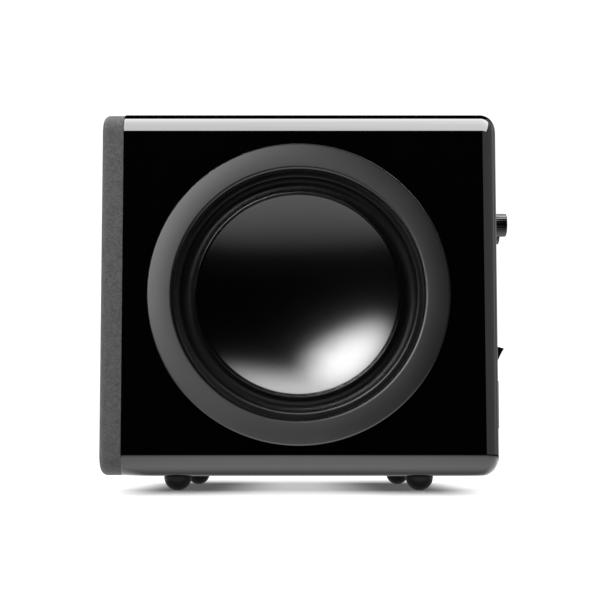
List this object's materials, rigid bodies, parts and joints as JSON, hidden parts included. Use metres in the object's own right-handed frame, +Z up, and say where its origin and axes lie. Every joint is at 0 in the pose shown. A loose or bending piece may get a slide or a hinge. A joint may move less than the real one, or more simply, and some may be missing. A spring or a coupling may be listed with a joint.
{
  "type": "subwoofer",
  "caption": "Compact cube-shaped powered subwoofer: gloss cabinet, cloth front grille, passive radiator in each side, plate amplifier at the rear, rubber feet.",
  "frame": {"origin": "on the floor under the middle of the overall length and width", "axes": "+Z up, -X towards the front grille, +X towards the rear controls, -Y towards the right-hand side"},
  "size_m": [0.232, 0.208, 0.21],
  "materials": {
    "black_lacquer": "piano-black gloss lacquer over fibreboard",
    "felt": "thick grey damping felt",
    "foot_rubber": "matt black rubber",
    "grille_fibreboard": "black stained fibreboard",
    "grille_cloth": "charcoal woven grille cloth",
    "black_plastic": "fine-textured black plastic",
    "trim_grey": "satin dark grey paint",
    "frame_black": "satin black paint",
    "surround_rubber": "satin black butyl rubber",
    "cone_metal": "satin anodised",
    "weight_steel": "zinc plated",
    "spider_cloth": "resin-treated corrugated cloth",
    "former_film": "brown polyimide film",
    "copper_wire": "enamelled winding",
    "magnet_ferrite": "dark ferrite",
    "gasket_foam": "closed-cell foam",
    "screw_black": "black zinc",
    "amp_plate": "textured black powder coat",
    "circuit_green": "green laminate",
    "standoff_brass": "plain",
    "transformer_core": "varnished core with yellow tape",
    "capacitor_sleeve": "blue sleeve over a can",
    "heat_metal": "extruded",
    "lead_jacket": "red jacket",
    "pot_metal": "plated",
    "shaft_metal": "turned",
    "knob_plastic": "satin black moulding",
    "lever_plastic": "pale grey",
    "contact_metal": "gold-flashed",
    "insulator": "white",
    "pin_metal": "nickel plated"
  },
  "bodies": {
    "cabinet": {"top_panel": "black_lacquer", "bottom_panel": "black_lacquer", "right_panel": "black_lacquer", "left_panel": "black_lacquer", "front_baffle": "black_lacquer", "rear_panel": "black_lacquer", "damping_felt": "felt", "foot_front_right": "foot_rubber", "foot_front_left": "foot_rubber", "foot_rear_right": "foot_rubber", "foot_rear_left": "foot_rubber", "grille_sockets": "black_plastic", "front_basket": "frame_black", "front_surround": "surround_rubber", "front_spider": "spider_cloth", "motor_top_plate": "weight_steel", "motor_magnet": "magnet_ferrite", "motor_yoke": "weight_steel", "driver_terminal": "circuit_green", "frame_gaskets": "gasket_foam", "frame_screws": "screw_black", "amp_plate": "amp_plate", "amp_plate_screws": "screw_black", "control_board": "circuit_green", "power_board": "circuit_green", "board_standoffs": "standoff_brass", "transformer": "transformer_core", "capacitors": "capacitor_sleeve", "heat_spreader": "heat_metal", "speaker_lead": "lead_jacket", "control_pots": "pot_metal", "slide_switches": "black_plastic", "phono_shells": "contact_metal", "phono_insulators": "insulator", "mains_inlet": "black_plastic", "mains_pins": "pin_metal", "rocker_housing": "black_plastic", "right_trim_ring": "trim_grey", "right_radiator_frame": "frame_black", "right_radiator_surround": "surround_rubber", "left_trim_ring": "trim_grey", "left_radiator_frame": "frame_black", "left_radiator_surround": "surround_rubber"},
    "grille": {"grille_board": "grille_fibreboard", "grille_cloth": "grille_cloth", "grille_pegs": "black_plastic"},
    "driver_cone": {"front_cone": "cone_metal", "voice_coil_former": "former_film", "voice_coil": "copper_wire"},
    "right_radiator": {"right_radiator_cone": "cone_metal", "right_tuning_mass": "weight_steel"},
    "left_radiator": {"left_radiator_cone": "cone_metal", "left_tuning_mass": "weight_steel"},
    "volume_control": {"volume_knob": "knob_plastic", "volume_shaft": "shaft_metal"},
    "crossover_control": {"crossover_knob": "knob_plastic", "crossover_shaft": "shaft_metal"},
    "phase_switch": {"phase_lever": "lever_plastic"},
    "mode_switch": {"mode_lever": "lever_plastic"},
    "power_switch": {"power_rocker": "knob_plastic"}
  },
  "joints": [
    {"name": "grille_pull", "type": "slide", "parent": "cabinet", "child": "grille", "axis": [-1, 0, 0], "range_m": [0, 0.03]},
    {"name": "driver_stroke", "type": "slide", "parent": "cabinet", "child": "driver_cone", "axis": [-1, 0, 0], "range_m": [-0.006, 0.006], "stiffness_N_per_m": 2000, "deforming": ["front_surround", "front_spider"]},
    {"name": "right_radiator_stroke", "type": "slide", "parent": "cabinet", "child": "right_radiator", "axis": [0, -1, 0], "range_m": [-0.005, 0.005], "stiffness_N_per_m": 1500, "deforming": ["right_radiator_surround"]},
    {"name": "left_radiator_stroke", "type": "slide", "parent": "cabinet", "child": "left_radiator", "axis": [0, 1, 0], "range_m": [-0.005, 0.005], "stiffness_N_per_m": 1500, "deforming": ["left_radiator_surround"]},
    {"name": "volume_turn", "type": "hinge", "parent": "cabinet", "child": "volume_control", "pos_m": [0.103, -0.045, 0.1555], "axis": [1, 0, 0], "range_deg": [-150, 150]},
    {"name": "crossover_turn", "type": "hinge", "parent": "cabinet", "child": "crossover_control", "pos_m": [0.103, -0.017, 0.1555], "axis": [1, 0, 0], "range_deg": [-150, 150]},
    {"name": "phase_slide", "type": "slide", "parent": "cabinet", "child": "phase_switch", "axis": [0, 1, 0], "range_m": [0, 0.003]},
    {"name": "mode_slide", "type": "slide", "parent": "cabinet", "child": "mode_switch", "axis": [0, 1, 0], "range_m": [0, 0.003]},
    {"name": "power_rock", "type": "hinge", "parent": "cabinet", "child": "power_switch", "pos_m": [0.103, -0.063, 0.0735], "axis": [0, 1, 0], "range_deg": [-32, 0]}
  ]
}
